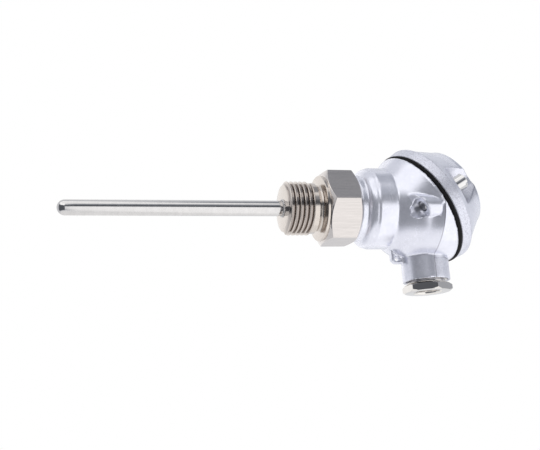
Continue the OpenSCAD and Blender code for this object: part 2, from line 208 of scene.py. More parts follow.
FLOAT, VECTOR = "NodeSocketFloat", "NodeSocketVector"


def cast_grain_group():
    """Height, roughness and mottling of sprayed paint over a cast surface; sandy is where the casting is coarse."""
    group, s, given, out = new_group(
        "cast_grain",
        [("Vector", VECTOR, None), ("Fine", FLOAT, 5200.0), ("Sandy", FLOAT, 0.0)],
        [("Height", FLOAT), ("Mottle", FLOAT), ("Sparkle", FLOAT), ("Pits", FLOAT)])
    vector = given.outputs["Vector"]
    fine = s.noise(vector, given.outputs["Fine"], 3.0, 0.6)
    orange_peel = s.noise(vector, 900.0, 2.0, 0.5)
    swell = s.noise(vector, 160.0, 2.0, 0.5)
    grit = s.noise(vector, 1900.0, 4.0, 0.7)
    calm = s.math("ADD", s.math("MULTIPLY", fine, 0.22), s.math("MULTIPLY", orange_peel, 0.55))
    coarse = s.math("MULTIPLY", s.math("MULTIPLY", grit, given.outputs["Sandy"]), 2.6)
    height = s.math("ADD", s.math("ADD", calm, s.math("MULTIPLY", swell, 0.9)), coarse)
    s.put(out, "Height", height)
    s.put(out, "Mottle", s.math("ADD", s.math("MULTIPLY", swell, 0.6), s.math("MULTIPLY", orange_peel, 0.4)))
    s.put(out, "Sparkle", s.span(s.math("ADD", fine, s.math("MULTIPLY", grit, given.outputs["Sandy"])), 0.55, 1.0))
    s.put(out, "Pits", s.math("MULTIPLY", s.span(grit, 0.46, 0.60), given.outputs["Sandy"]))
    return group


def machined_lines_group():
    """Fine lines left by turning or brushing: Vector is already stretched along the lines."""
    group, s, given, out = new_group(
        "machined_lines",
        [("Vector", VECTOR, None), ("Scale", FLOAT, 1.0)],
        [("Height", FLOAT), ("Tone", FLOAT)])
    vector = given.outputs["Vector"]
    broad = s.noise(vector, given.outputs["Scale"], 2.0, 0.55)
    narrow = s.noise(vector, s.math("MULTIPLY", given.outputs["Scale"], 3.7), 3.0, 0.6)
    s.put(out, "Height", s.math("ADD", s.math("MULTIPLY", broad, 0.6), s.math("MULTIPLY", narrow, 0.4)))
    tone = s.math("ADD", s.math("MULTIPLY", broad, 0.55), s.math("MULTIPLY", narrow, 0.45))
    s.put(out, "Tone", s.span(tone, 0.3, 0.7))
    return group


def handling_group():
    """Faint smudges and dust that vary the gloss of a clean part."""
    group, s, given, out = new_group(
        "handling", [("Vector", VECTOR, None), ("Amount", FLOAT, 0.05)], [("Roughness", FLOAT), ("Tint", FLOAT)])
    cloud = s.noise(given.outputs["Vector"], 70.0, 4.0, 0.6, 0.6)
    s.put(out, "Roughness", s.math("MULTIPLY", s.math("SUBTRACT", cloud, 0.5), given.outputs["Amount"]))
    s.put(out, "Tint", s.span(cloud, 0.3, 0.75))
    return group


CAST_GRAIN = cast_grain_group()
MACHINED_LINES = machined_lines_group()
HANDLING = handling_group()


def new_material(name):
    material = bpy.data.materials.new(name)
    material.use_nodes = True
    material.node_tree.nodes.clear()
    s = Shade(material.node_tree)
    shader = s.add("ShaderNodeBsdfPrincipled")
    output = s.add("ShaderNodeOutputMaterial")
    s.put(output, "Surface", shader.outputs[0])
    place = s.add("ShaderNodeTexCoord").outputs["Object"]
    return material, s, shader, place


def use(s, group, **values):
    node = s.add("ShaderNodeGroup")
    node.node_tree = group
    for key, value in values.items():
        s.put(node, key, value)
    return node


def bump(s, height, strength, distance):
    node = s.add("ShaderNodeBump")
    s.put(node, "Height", height)
    s.put(node, "Strength", strength)
    s.put(node, "Distance", distance)
    return node.outputs[0]


# PAINT_DUSK darkens the coarse casting's pits, and is also the painted shade on the lid recesses' walls
PAINT_PALE, PAINT_DEEP, PAINT_DUSK = (0.80, 0.812, 0.90, 1), (0.70, 0.712, 0.80, 1), (0.36, 0.37, 0.43, 1)
# the parting line's dark tone, and painted shade for the inside of the lid screws' holes
LINE_TINT, HOLE_SHADE = (0.26, 0.26, 0.30, 1), (0.05, 0.05, 0.06, 1)


def in_lid_frame(s, place):
    """X, Y and Z of a place, measured in the lid's frame."""
    local = s.add("ShaderNodeMapping", vector_type="POINT")
    s.put(local, "Vector", place)
    s.put(local, "Location", tuple(LID_MATRIX.inverted().to_translation()))
    s.put(local, "Rotation", (0.0, LID_TILT, 0.0))
    return s.axes(local.outputs[0])


def cover_masks(s, place):
    """Where the cover is coarse, and where shade is painted on it: the rim's band, and painted shade on the recesses'
    walls.
    """
    axes = in_lid_frame(s, place)
    band = s.span(axes["Z"], (RIM_H + 0.15) * MM, (RIM_H - 0.35) * MM)
    side = s.span(s.math("ABSOLUTE", axes["Y"]), 14.0 * MM, 15.0 * MM)
    below = s.span(axes["Z"], (SCOOP_H + 6.0) * MM, (SCOOP_H + 5.0) * MM)
    coarse = s.math("MAXIMUM", band, s.product(side, below, 0.45))
    beyond = s.math("SUBTRACT", s.math("ABSOLUTE", axes["Y"]), LID_SCREW_R * MM)
    near_screw = s.span(s.length(axes["X"], beyond), 9.0 * MM, 7.0 * MM)
    over_floor = s.span(axes["Z"], (SCOOP_H + 0.2) * MM, (SCOOP_H + 1.0) * MM)
    # painted shade: the recesses' walls on their lower side, near the screws, are painted darker
    wall = s.product(near_screw, over_floor, s.span(axes["X"], 1.0 * MM, 3.5 * MM))
    return coarse, [(wall, 0.75, PAINT_DUSK)], None


def body_masks(s, place):
    """Where the body is coarse, its dark marks and painted shade, and the parting line as a groove.

    The line runs round the ball and along the cable entry, which is coarser above it; the lid screws' holes are
    painted near-black as painted shade.
    """
    axes, in_lid = s.axes(place), in_lid_frame(s, place)
    aside = s.math("SUBTRACT", in_lid["X"], SCREW_SHIFT * MM)
    beyond = s.math("SUBTRACT", s.math("ABSOLUTE", in_lid["Y"]), LID_SCREW_R * MM)
    up_axis = s.span(in_lid["Z"], (SCREW_HOLE_LOW - 0.5) * MM, (SCREW_HOLE_LOW + 0.3) * MM)
    # painted shade: the lid screws' holes are painted near-black
    hole_shade = s.product(s.span(s.length(aside, beyond), 2.3 * MM, 1.95 * MM), up_axis)
    height = s.math("SUBTRACT", axes["Z"], BALL_Z * MM)
    line = s.span(s.math("ABSOLUTE", height), 0.26 * MM, 0.04 * MM, smooth=True)
    entry = s.span(axes["X"], (BODY_R - 0.4) * MM, (BODY_R + 0.4) * MM)
    coarse = s.product(entry, s.span(height, 0.0, 0.3 * MM), 0.8)
    return coarse, [(line, 0.75, LINE_TINT), (hole_shade, 0.85, HOLE_SHADE)], line


def cast_paint(name, masks):
    """Silver paint over the casting, with the masks of the part it is on."""
    material, s, shader, place = new_material(name)
    coarse, marks_and_shade, groove = masks(s, place)
    grain = use(s, CAST_GRAIN, Vector=place, Sandy=s.span(coarse, 0.0, 1.0, 0.10, 1.0))
    smudge = use(s, HANDLING, Vector=place, Amount=0.08)
    colour = s.mix(s.span(grain.outputs["Mottle"], 0.35, 0.65), PAINT_DEEP, PAINT_PALE)
    colour = s.mix(s.product(coarse, grain.outputs["Pits"], 0.5), colour, PAINT_DUSK)
    # the part's dark marks, such as its parting line, and painted shade in its holes and on its recesses' walls
    for mask, share, tint in marks_and_shade:
        colour = s.mix(s.product(mask, share), colour, tint)
    height = grain.outputs["Height"]
    if groove is not None:
        height = s.math("SUBTRACT", height, s.product(groove, 1.2))
    s.put(shader, "Base Color", colour)
    s.put(shader, "Metallic", 0.70)
    rough = s.math("ADD", 0.24, smudge.outputs["Roughness"])
    rough = s.math("ADD", rough, s.product(coarse, 0.10))
    s.put(shader, "Roughness", s.math("ADD", rough, s.product(grain.outputs["Sparkle"], 0.08)))
    s.put(shader, "Normal", bump(s, height, 0.55, 0.00005))
    return material


def stainless(name, along, tint=(0.64, 0.61, 0.59, 1), rough=0.24, scale=900.0, strength=0.35, root_shade=None):
    """Machined stainless steel: along stretches its lines, small along them and large across them.

    The colour given for the thread's roots is painted shade, darker between the ridges.
    """
    material, s, shader, place = new_material(name)
    lines = use(s, MACHINED_LINES, Vector=s.stretch(place, along), Scale=scale)
    smudge = use(s, HANDLING, Vector=place, Amount=0.10)
    darker = tuple(c * 0.86 for c in tint[:3]) + (1,)
    colour = s.mix(lines.outputs["Tone"], darker, tint)
    if root_shade is not None:
        # painted shade: the core between the thread's ridges is painted darker
        axes = s.axes(place)
        deep = s.span(s.length(axes["X"], axes["Y"]), (THREAD_R - 0.3) * MM, (THREAD_R - 1.0) * MM)
        cut = s.span(axes["Z"], -(RELIEF_L + 0.1) * MM, -(RELIEF_L + 0.6) * MM)
        off_face = s.span(axes["Z"], -(THREAD_L - 0.05) * MM, -(THREAD_L - 0.3) * MM)
        colour = s.mix(s.product(deep, cut, off_face), colour, root_shade)
    s.put(shader, "Base Color", colour)
    s.put(shader, "Metallic", 1.0)
    s.put(shader, "Roughness", s.math("ADD", s.math("ADD", rough, smudge.outputs["Roughness"]),
                                      s.math("MULTIPLY", lines.outputs["Tone"], 0.07)))
    s.put(shader, "Normal", bump(s, lines.outputs["Height"], strength, 0.000012))
    return material


def plain_metal(name, tint, rough, grain=2400.0, strength=0.2):
    material, s, shader, place = new_material(name)
    lines = use(s, MACHINED_LINES, Vector=place, Scale=grain)
    smudge = use(s, HANDLING, Vector=place, Amount=0.08)
    darker = tuple(c * 0.88 for c in tint[:3]) + (1,)
    s.put(shader, "Base Color", s.mix(smudge.outputs["Tint"], darker, tint))
    s.put(shader, "Metallic", 1.0)
    s.put(shader, "Roughness", s.math("ADD", rough, smudge.outputs["Roughness"]))
    s.put(shader, "Normal", bump(s, lines.outputs["Height"], strength, 0.00001))
    return material


def dull(name, pale, deep, rough, grain=1800.0, depth=0.00003, coat=0.0, gloss=0.5):
    """Rubber, ceramic, resin and wire insulation."""
    material, s, shader, place = new_material(name)
    grain_node = use(s, CAST_GRAIN, Vector=place, Sandy=0.25, Fine=grain)
    s.put(shader, "Base Color", s.mix(grain_node.outputs["Mottle"], deep, pale))
    s.put(shader, "Roughness", s.math("ADD", rough, s.math("MULTIPLY", grain_node.outputs["Sparkle"], 0.1)))
    s.put(shader, "Coat Weight", coat)
    s.put(shader, "Specular IOR Level", gloss)
    s.put(shader, "Normal", bump(s, grain_node.outputs["Height"], 0.5, depth))
    return material


HEAD_PAINT = cast_paint("head_paint", body_masks)
LID_PAINT = cast_paint("lid_paint", cover_masks)
STEM_STEEL = stainless("stem_steel", (0.5, 0.5, 1.0), scale=520.0, rough=0.09, strength=0.06,
                       tint=(0.66, 0.65, 0.65, 1))
# the thread's root colour is painted shade between the ridges
THREAD_STEEL = stainless("thread_steel", (0.25, 0.25, 1.0), scale=1500.0, rough=0.12, strength=0.2,
                         tint=(0.62, 0.57, 0.53, 1), root_shade=(0.36, 0.32, 0.30, 1))
HEX_STEEL = stainless("hexagon_steel", (1.0, 1.0, 0.06), scale=1500.0, rough=0.16, tint=(0.66, 0.625, 0.61, 1))
NICKEL = plain_metal("nickel", (0.76, 0.74, 0.72, 1), 0.06, strength=0.08)
CHROME = plain_metal("chromed_steel", (0.74, 0.735, 0.735, 1), 0.05, strength=0.06)
SCREW_STEEL = plain_metal("screw_steel", (0.66, 0.655, 0.65, 1), 0.28)
BRASS = plain_metal("brass", (0.80, 0.60, 0.27, 1), 0.26)
GASKET_RUBBER = dull("gasket_rubber", (0.010, 0.010, 0.011, 1), (0.005, 0.005, 0.006, 1), 0.62, gloss=0.15)
CERAMIC = dull("ceramic", (0.88, 0.86, 0.80, 1), (0.80, 0.77, 0.70, 1), 0.55)
RESIN = dull("resin", (0.50, 0.20, 0.07, 1), (0.38, 0.14, 0.05, 1), 0.30, coat=0.3)
NYLON = dull("nylon", (0.82, 0.82, 0.79, 1), (0.74, 0.74, 0.70, 1), 0.45)
RED_WIRE = dull("red_insulation", (0.60, 0.03, 0.025, 1), (0.45, 0.02, 0.02, 1), 0.42)
WHITE_WIRE = dull("white_insulation", (0.85, 0.85, 0.83, 1), (0.76, 0.76, 0.74, 1), 0.42)


# ------------------------------------------------------------------ mesh helpers
def finish_mesh(name, mesh, material, sharp_angle=32.0, matrix=None):
    """Puts the mesh in the scene with its place in its vertices, smooth but for edges over the angle."""
    if matrix is not None:
        mesh.transform(matrix)
    build = bmesh.new()
    build.from_mesh(mesh)
    bmesh.ops.remove_doubles(build, verts=build.verts, dist=1e-7)
    bmesh.ops.recalc_face_normals(build, faces=build.faces)
    limit = math.radians(sharp_angle)
    for face in build.faces:
        face.smooth = True
    for edge in build.edges:
        edge.smooth = len(edge.link_faces) == 2 and edge.calc_face_angle(0.0) < limit
    build.to_mesh(mesh)
    build.free()
    if material is not None:
        mesh.materials.clear()
        mesh.materials.append(material)
    piece = bpy.data.objects.new(name, mesh)
    bpy.context.scene.collection.objects.link(piece)
    return piece


def mesh_from(name, points, faces):
    mesh = bpy.data.meshes.new(name)
    mesh.from_pydata([tuple(p) for p in points], [], [tuple(f) for f in faces])
    mesh.validate()
    return mesh


def turned(name, profile, segments=128, closed=True):
    """A turned solid about Z from (radius, height) pairs in millimetres; points on the axis become poles."""
    points, rows = [], []
    for radius, height in profile:
        if radius < 1e-6:
            rows.append([len(points)])
            points.append((0.0, 0.0, height * MM))
            continue
        rows.append(list(range(len(points), len(points) + segments)))
        for k in range(segments):
            angle = 2 * math.pi * k / segments
            points.append((radius * math.cos(angle) * MM, radius * math.sin(angle) * MM, height * MM))
    faces = []
    pairs = list(zip(rows, rows[1:])) + ([(rows[-1], rows[0])] if closed else [])
    for low, high in pairs:
        if len(low) == 1 and len(high) == 1:
            continue
        for k in range(segments):
            n = (k + 1) % segments
            if len(low) == 1:
                faces.append((low[0], high[n], high[k]))
            elif len(high) == 1:
                faces.append((low[k], low[n], high[0]))
            else:
                faces.append((low[k], low[n], high[n], high[k]))
    return mesh_from(name, points, faces)


def arc(centre_r, centre_z, radius, start, end, steps):
    """Points of an arc in a turned profile, angles in degrees from the outward radial direction."""
    return [(centre_r + radius * math.cos(math.radians(a)), centre_z + radius * math.sin(math.radians(a)))
            for a in np.linspace(start, end, steps)]


def hexagon_outline(across, corner, steps=14):
    """Points of a hexagon whose corners are rounded with the given radius."""
    outline = []
    flat = across / 2
    half = flat * math.tan(math.radians(30))
    inset = corner * math.tan(math.radians(30))
    for side in range(6):
        base = math.radians(60 * side)
        out = np.array((math.cos(base), math.sin(base)))
        along = np.array((-out[1], out[0]))
        for t in np.linspace(-(half - inset), half - inset, steps):
            outline.append(out * flat + along * t)
        centre = out * (flat - corner) + along * (half - inset)
        for a in np.linspace(0, 60, 5)[1:-1]:
            angle = base + math.radians(a)
            outline.append(centre + corner * np.array((math.cos(angle), math.sin(angle))))
    return outline


def hexagon_ring(name, across, face_r, z0, z1, bore, corner=0.35, edge=0.12):
    """Chamfered hexagon with a bore: each outline point keeps its own height under the chamfer cone."""
    outline = hexagon_outline(across, corner)
    slope = math.tan(math.radians(30))
    columns = []
    for p in outline:
        r = math.hypot(*p)
        drop = max((r - face_r) * slope, 0.0) + edge * 0.4
        soft = min(edge, drop)
        profile = [(bore, z0), (face_r - 0.1, z0), (face_r + 0.12, z0 + 0.05),
                   (r - 0.06, z0 + drop - 0.035), (r, z0 + drop + soft * 0.5),
                   (r, z1 - drop - soft * 0.5), (r - 0.06, z1 - drop + 0.035),
                   (face_r + 0.12, z1 - 0.05), (face_r - 0.1, z1), (bore, z1)]
        columns.append([(p[0] / r * q[0] * MM, p[1] / r * q[0] * MM, q[1] * MM) for q in profile])
    rows = len(columns[0])
    points = [p for column in columns for p in column]
    faces = []
    for i in range(len(columns)):
        j = (i + 1) % len(columns)
        for k in range(rows):
            m = (k + 1) % rows
            faces.append((i * rows + k, j * rows + k, j * rows + m, i * rows + m))
    return mesh_from(name, points, faces)


def join(name, meshes):
    """One mesh from several."""
    build = bmesh.new()
    for mesh in meshes:
        build.from_mesh(mesh)
    joined = bpy.data.meshes.new(name)
    build.to_mesh(joined)
    build.free()
    return joined


def soft_casting(node, voxel, rounds, name, reshape=None):
    """The casting's own solid with its edges rounded as a cast surface has them, after reshape has moved points."""
    mesh = nodes[node].data.copy()
    build = bmesh.new()
    build.from_mesh(mesh)
    bmesh.ops.remove_doubles(build, verts=build.verts, dist=2e-6)
    build.to_mesh(mesh)
    build.free()
    piece = bpy.data.objects.new(name, mesh)
    bpy.context.scene.collection.objects.link(piece)
    remesh = piece.modifiers.new("even_skin", "REMESH")
    remesh.mode = "VOXEL"
    remesh.voxel_size = voxel * MM
    remesh.use_smooth_shade = True
    even = bpy.data.meshes.new_from_object(piece.evaluated_get(bpy.context.evaluated_depsgraph_get()))
    piece.modifiers.clear()
    if reshape is not None:
        points = np.empty(len(even.vertices) * 3)
        even.vertices.foreach_get("co", points)
        even.vertices.foreach_set("co", reshape(points.reshape(-1, 3) / MM).ravel() * MM)
    piece.data = even
    smooth = piece.modifiers.new("soft_edges", "SMOOTH")
    smooth.factor = 0.5
    smooth.iterations = rounds
    result = bpy.data.meshes.new_from_object(piece.evaluated_get(bpy.context.evaluated_depsgraph_get()))
    bpy.data.objects.remove(piece)
    result.name = name
    return result


FLARE_FROM = -9.0        # height, in the lid's frame, from which the body widens towards the flange
BULGE_DEPTH = 5.0        # how far below the parting line the ball is drawn out to meet the upper wall's foot
WALL_DRAFT = 0.06        # how much the upper wall leans in per unit of its rise


def flange_edge(angle, centre):
    """Reach from the probe's axis and rise over the parting line of the flange's low edge, at angles about Z."""
    turn = np.linspace(0, 2 * math.pi, 721)
    ring = np.outer(np.cos(turn), np.array(LID_SIDE)) + np.outer(np.sin(turn), (0, 1, 0))
    edge = centre + np.array(LID_AXIS) * FLANGE_LOW + FLANGE_R * ring
    around = np.arctan2(edge[:, 1], edge[:, 0])
    order = np.argsort(around)
    reach, rise = np.hypot(edge[:, 0], edge[:, 1]), edge[:, 2] - BALL_Z
    return tuple(np.interp(angle, around[order], of[order], period=2 * math.pi) for of in (reach, rise))


def drawn_up(points):
    """The ball's outside widens to the flange without a lip; above the parting line it rises straight instead.

    Points in millimetres; only those of the ball's skin and of the flange's blend are moved, and only outwards.
    """
    axis, side = np.array(LID_AXIS), np.array(LID_SIDE)
    centre = np.array(LID_CENTRE) - side * LID_SHIFT
    height = (points - centre) @ axis
    across = (points - centre) @ side
    rho = np.hypot(across, points[:, 1])
    rise = points[:, 2] - BALL_Z
    on_ball = np.abs(np.hypot(np.hypot(points[:, 0], points[:, 1]), rise) - BODY_R) < 0.3
    on_blend = (height > -4.2) & (rho > 21.3)
    outside = (on_ball | on_blend) & (height < FLANGE_LOW + 0.05)

    # below the parting line: the ball's section square to the lid's axis grows up to the flange
    share = np.clip((height - FLARE_FROM) / (FLANGE_LOW - FLARE_FROM), 0.0, 1.0) ** 2
    ball = np.sqrt(np.maximum(BODY_R ** 2 - (height - SEAT_DROP) ** 2, 1.0))
    goal = ball + (FLANGE_R - BODY_R) * share
    grow = 1 + np.clip(goal - rho, 0.0, 2.0) * (outside & (rise <= 0)) / np.maximum(rho, 1.0)
    moved = centre + height[:, None] * axis + (across * grow)[:, None] * side
    moved[:, 1] = points[:, 1] * grow

    # where the flange stands above the parting line: a straight wall, and under it the ball swells to the wall's foot
    edge_reach, edge_rise = flange_edge(np.arctan2(points[:, 1], points[:, 0]), centre)
    foot = np.maximum(edge_reach + WALL_DRAFT * edge_rise, BODY_R)
    wall = foot + np.clip(rise / np.maximum(edge_rise, 0.5), 0.0, 1.0) * (edge_reach - foot)
    swell = (foot - BODY_R) * np.clip(1 + rise / BULGE_DEPTH, 0.0, 1.0) ** 2
    goal = np.where(rise > 0, wall, np.sqrt(np.maximum(BODY_R ** 2 - rise ** 2, 1.0)) + swell)
    reach = np.hypot(moved[:, 0], moved[:, 1])
    push = 1 + np.clip(goal - reach, 0.0, 3.0) * (outside & (edge_rise > 0)) / np.maximum(reach, 1.0)
    moved[:, :2] *= push[:, None]
    return moved


# ------------------------------------------------------------------ geometry node trees
class Tree:
    """A geometry node tree under construction."""

    def __init__(self, name, inputs):
        self.tree = bpy.data.node_groups.new(name, "GeometryNodeTree")
        for socket_name, kind, value in inputs:
            socket = self.tree.interface.new_socket(socket_name, in_out="INPUT", socket_type=kind)
            if value is not None:
                socket.default_value = value
        self.tree.interface.new_socket("Geometry", in_out="OUTPUT", socket_type="NodeSocketGeometry")
        self.given = self.tree.nodes.new("NodeGroupInput")
        self.out = self.tree.nodes.new("NodeGroupOutput")

    def value(self, name):
        return self.given.outputs[name]

    def add(self, kind, values=None, **settings):
        node = self.tree.nodes.new(kind)
        for key, value in settings.items():
            setattr(node, key, value)
        for key, value in (values or {}).items():
            socket = node.inputs[key]
            if hasattr(value, "is_output"):
                self.tree.links.new(value, socket)
            else:
                socket.default_value = value
        return node

    def math(self, operation, a, b=0.0):
        return self.add("ShaderNodeMath", {0: a, 1: b}, operation=operation).outputs[0]

    def finish(self, geometry):
        realized = self.add("GeometryNodeRealizeInstances", {"Geometry": geometry}).outputs[0]
        painted = self.add("GeometryNodeSetMaterial", {"Geometry": realized, "Material": self.value("Material")})
        self.tree.links.new(painted.outputs[0], self.out.inputs[0])
        return self.tree


def grown(tree, name, values):
    """Runs a tree with the given inputs and returns its result as a plain mesh."""
    carrier = bpy.data.objects.new(name + "_carrier", bpy.data.meshes.new(name + "_carrier"))
    bpy.context.scene.collection.objects.link(carrier)
    modifier = carrier.modifiers.new(name, "NODES")
    modifier.node_group = tree
    ids = {item.name: item.identifier for item in tree.interface.items_tree if getattr(item, "in_out", "") == "INPUT"}
    for key, value in values.items():
        modifier[ids[key]] = value
    carrier.update_tag()
    bpy.context.view_layer.update()
    mesh = bpy.data.meshes.new_from_object(carrier.evaluated_get(bpy.context.evaluated_depsgraph_get()))
    mesh.name = name
    bpy.data.objects.remove(carrier)
    return mesh


def thread_tree():
    """A screw thread's ridge: a tapered profile swept up a helix, thinner towards both of its ends."""
    t = Tree("thread_ridge", [
        ("Root radius", FLOAT, 0.0095), ("Pitch", FLOAT, 0.0018), ("Turns", FLOAT, 5.0), ("Depth", FLOAT, 0.001),
        ("Crest", FLOAT, 0.0002), ("Rounding", FLOAT, 0.0002), ("Start", FLOAT, 0.0), ("Runout", FLOAT, 0.06),
        ("Material", "NodeSocketMaterial", None)])
    height = t.math("MULTIPLY", t.value("Pitch"), t.value("Turns"))
    helix = t.add("GeometryNodeCurveSpiral", {
        "Resolution": 96, "Rotations": t.value("Turns"), "Start Radius": t.value("Root radius"),
        "End Radius": t.value("Root radius"), "Height": height, "Reverse": False}).outputs[0]
    upright = t.add("GeometryNodeSetCurveNormal", {"Curve": helix}, mode="Z_UP").outputs[0]
    along = t.add("GeometryNodeSplineParameter").outputs["Factor"]
    rise = t.math("MINIMUM", t.math("DIVIDE", along, t.value("Runout")), 1.0)
    fall = t.math("MINIMUM", t.math("DIVIDE", t.math("SUBTRACT", 1.0, along), t.value("Runout")), 1.0)
    taper = t.math("MULTIPLY", rise, fall)
    sized = t.add("GeometryNodeSetCurveRadius", {"Curve": upright, "Radius": taper}).outputs[0]
    foot = t.math("MULTIPLY", t.value("Pitch"), 0.98)
    form = t.add("GeometryNodeCurvePrimitiveQuadrilateral", {
        "Bottom Width": foot, "Top Width": t.value("Crest"), "Offset": 0.0,
        "Height": t.value("Depth")}, mode="TRAPEZOID").outputs[0]
    rounded = t.add("GeometryNodeFilletCurve", {
        "Curve": form, "Radius": t.value("Rounding"), "Count": 4}, mode="POLY").outputs[0]
    turned_form = t.add("GeometryNodeTransform", {
        "Geometry": rounded, "Rotation": (0.0, 0.0, math.pi / 2)}).outputs[0]
    swept = t.add("GeometryNodeCurveToMesh", {"Curve": sized, "Profile Curve": turned_form, "Fill Caps": True})
    lifted = t.add("ShaderNodeCombineXYZ", {2: t.value("Start")}).outputs[0]
    placed = t.add("GeometryNodeTransform", {"Geometry": swept.outputs[0], "Translation": lifted}).outputs[0]
    return t.finish(placed)


def bead_tree():
    """A weld bead: overlapping flattened ripples set round the stem."""
    t = Tree("weld_bead", [
        ("Radius", FLOAT, 0.0032), ("Height", FLOAT, 0.0004), ("Ripples", "NodeSocketInt", 40),
        ("Size", FLOAT, 0.0006),
        ("Material", "NodeSocketMaterial", None)])
    circle = t.add("GeometryNodeMeshCircle", {"Vertices": t.value("Ripples"), "Radius": t.value("Radius")}).outputs[0]
    drop = t.add("GeometryNodeMeshIcoSphere", {"Radius": t.value("Size"), "Subdivisions": 3}).outputs[0]
    spin = t.add("FunctionNodeRandomValue", {2: 0.85, 3: 1.15, "Seed": 7}, data_type="FLOAT").outputs[1]
    many = t.add("GeometryNodeInstanceOnPoints", {"Points": circle, "Instance": drop, "Scale": spin}).outputs[0]
    lifted = t.add("ShaderNodeCombineXYZ", {2: t.value("Height")}).outputs[0]
    placed = t.add("GeometryNodeTransform", {"Geometry": many, "Translation": lifted}).outputs[0]
    return t.finish(placed)


THREAD_RIDGE = thread_tree()
WELD_BEAD = bead_tree()


# ------------------------------------------------------------------ pieces
def make_stem():
    inner = SHEATH_R - SHEATH_WALL
    depth = 26.0
    profile = [(0.0, TIP_Z)] + arc(0.0, TIP_Z + SHEATH_R, SHEATH_R, -86, 0, 14)
    profile += [(SHEATH_R, z) for z in np.linspace(TIP_Z + SHEATH_R + 4, SHEATH_TOP - 0.2, 9)]
    profile += [(SHEATH_R - 0.2, SHEATH_TOP), (inner, SHEATH_TOP), (inner, SHEATH_TOP - depth),
                (0.0, SHEATH_TOP - depth)]
    stem = finish_mesh("stem", turned("stem", profile, 96, closed=False), STEM_STEEL)
    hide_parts("probe_sheath")
    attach(stem, "base")


def make_fitting():
    """Threaded core with its relief and the hexagon's washer ring, the hexagon on its stub, and the weld bead."""
    root = THREAD_R - 1.16
    neck = THREAD_R - 0.62
    groove = THREAD_R - 1.55
    groove_z = -3.2
    ring_r, ring_z = 12.75, -1.2
    profile = [(SHEATH_R, -THREAD_L), (root - 0.55, -THREAD_L)]
    profile += arc(root - 0.55, -THREAD_L + 0.4, 0.4, -90, 0, 4)
    profile += [(root, -THREAD_L + 0.95), (root, -RELIEF_L - 0.55)]
    profile += [(neck - 0.15, -RELIEF_L - 0.1), (neck, -RELIEF_L + 0.05), (neck, groove_z - 0.15)]
    profile += [(neck - 0.15, groove_z), (groove + 0.1, groove_z + 0.1)]
    profile += arc(groove + 0.9, ring_z - 1.0, 0.9, 180, 100, 7)
    profile += [(ring_r - 0.6, ring_z), (ring_r - 0.12, ring_z + 0.05), (ring_r, ring_z + 0.2), (ring_r, -0.12)]
    profile += [(ring_r + 0.1, 0.0), (ring_r + 0.1, 0.5), (SHEATH_R, 0.6)]
    core = turned("fitting_core", profile, 144)
    ridge = grown(THREAD_RIDGE, "process_thread", {
        "Root radius": (root - 0.03) * MM, "Pitch": THREAD_PITCH * MM,
        "Turns": (THREAD_L - RELIEF_L - 0.1) / THREAD_PITCH, "Depth": (THREAD_R - root + 0.03) * 2 * MM,
        "Crest": 0.42 * MM, "Rounding": 0.3 * MM, "Start": (-THREAD_L + 0.45) * MM, "Runout": 0.05,
        "Material": THREAD_STEEL})
    hexagon = hexagon_ring("fitting_hexagon", HEX_AF, HEX_AF / 2 - 0.25, 0.0, HEX_L, SHEATH_R)
    stub = turned("fitting_stub", [
        (SHEATH_R, HEX_L - 0.5), (STUB_R, HEX_L - 0.5), (STUB_R, STUB_TOP - 1.0), (STUB_R - 1.0, STUB_TOP),
        (SHEATH_R, STUB_TOP)], 96)
    thread = finish_mesh("fitting_thread", join("fitting_thread", [core, ridge]), THREAD_STEEL, 38)
    block = finish_mesh("fitting_hexagon", join("fitting_hexagon", [hexagon, stub]), HEX_STEEL, 24)
    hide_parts("process_fitting")
    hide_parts("process_fitting")
    bead = grown(WELD_BEAD, "weld_bead", {
        "Radius": (SHEATH_R + 0.2) * MM, "Height": (-THREAD_L - 0.1) * MM, "Ripples": 34, "Size": 0.42 * MM,
        "Material": STEM_STEEL})
    weld = finish_mesh("weld", bead, STEM_STEEL, 60)
    for piece in (thread, block, weld):
        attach(piece, "base")


def make_castings():
    body = finish_mesh("casting", soft_casting("head_body", 0.37, 2, "casting", drawn_up), HEAD_PAINT, 50)
    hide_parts("head_body")
    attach(body, "base")
    lid = finish_mesh("cover", soft_casting("lid", 0.36, 2, "cover"), LID_PAINT, 50)
    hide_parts("lid")
    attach(lid, "lid_body")


def make_gland():
    """Gland nut: a hexagon with rounded corners, a thread and a mouth with a rounded edge, built along Z."""
    hex_start = NUT_END - GLAND_HEX_L
    neck_r = GLAND_R - 0.75
    head = hexagon_ring("nut_hexagon", GLAND_AF, GLAND_AF / 2 + 0.3, hex_start, NUT_END, CABLE_R + 0.95, corner=0.2)
    profile = [(CABLE_R, NUT_START), (neck_r - 0.25, NUT_START), (neck_r, NUT_START + 0.3), (neck_r, hex_start + 0.3)]
    profile += [(CABLE_R + 1.0, hex_start + 0.3), (CABLE_R + 1.0, NUT_END - 0.02)]
    profile += arc(CABLE_R + 0.95, NUT_END - 0.95, 0.95, 90, 180, 6)
    neck = turned("nut_neck", profile, 96)
    ridge = grown(THREAD_RIDGE, "gland_thread", {
        "Root radius": (GLAND_R - 0.78) * MM, "Pitch": GLAND_PITCH * MM,
        "Turns": (hex_start - NUT_START - 0.2) / GLAND_PITCH, "Depth": 0.78 * 2 * MM, "Crest": 0.3 * MM,
        "Rounding": 0.2 * MM, "Start": (NUT_START + 0.1) * MM, "Runout": 0.06, "Material": NICKEL})
    nut = finish_mesh("gland", join("gland", [head, neck, ridge]), NICKEL, 26, ENTRY_MATRIX)
    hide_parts("gland_nut")
    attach(nut, "gland")


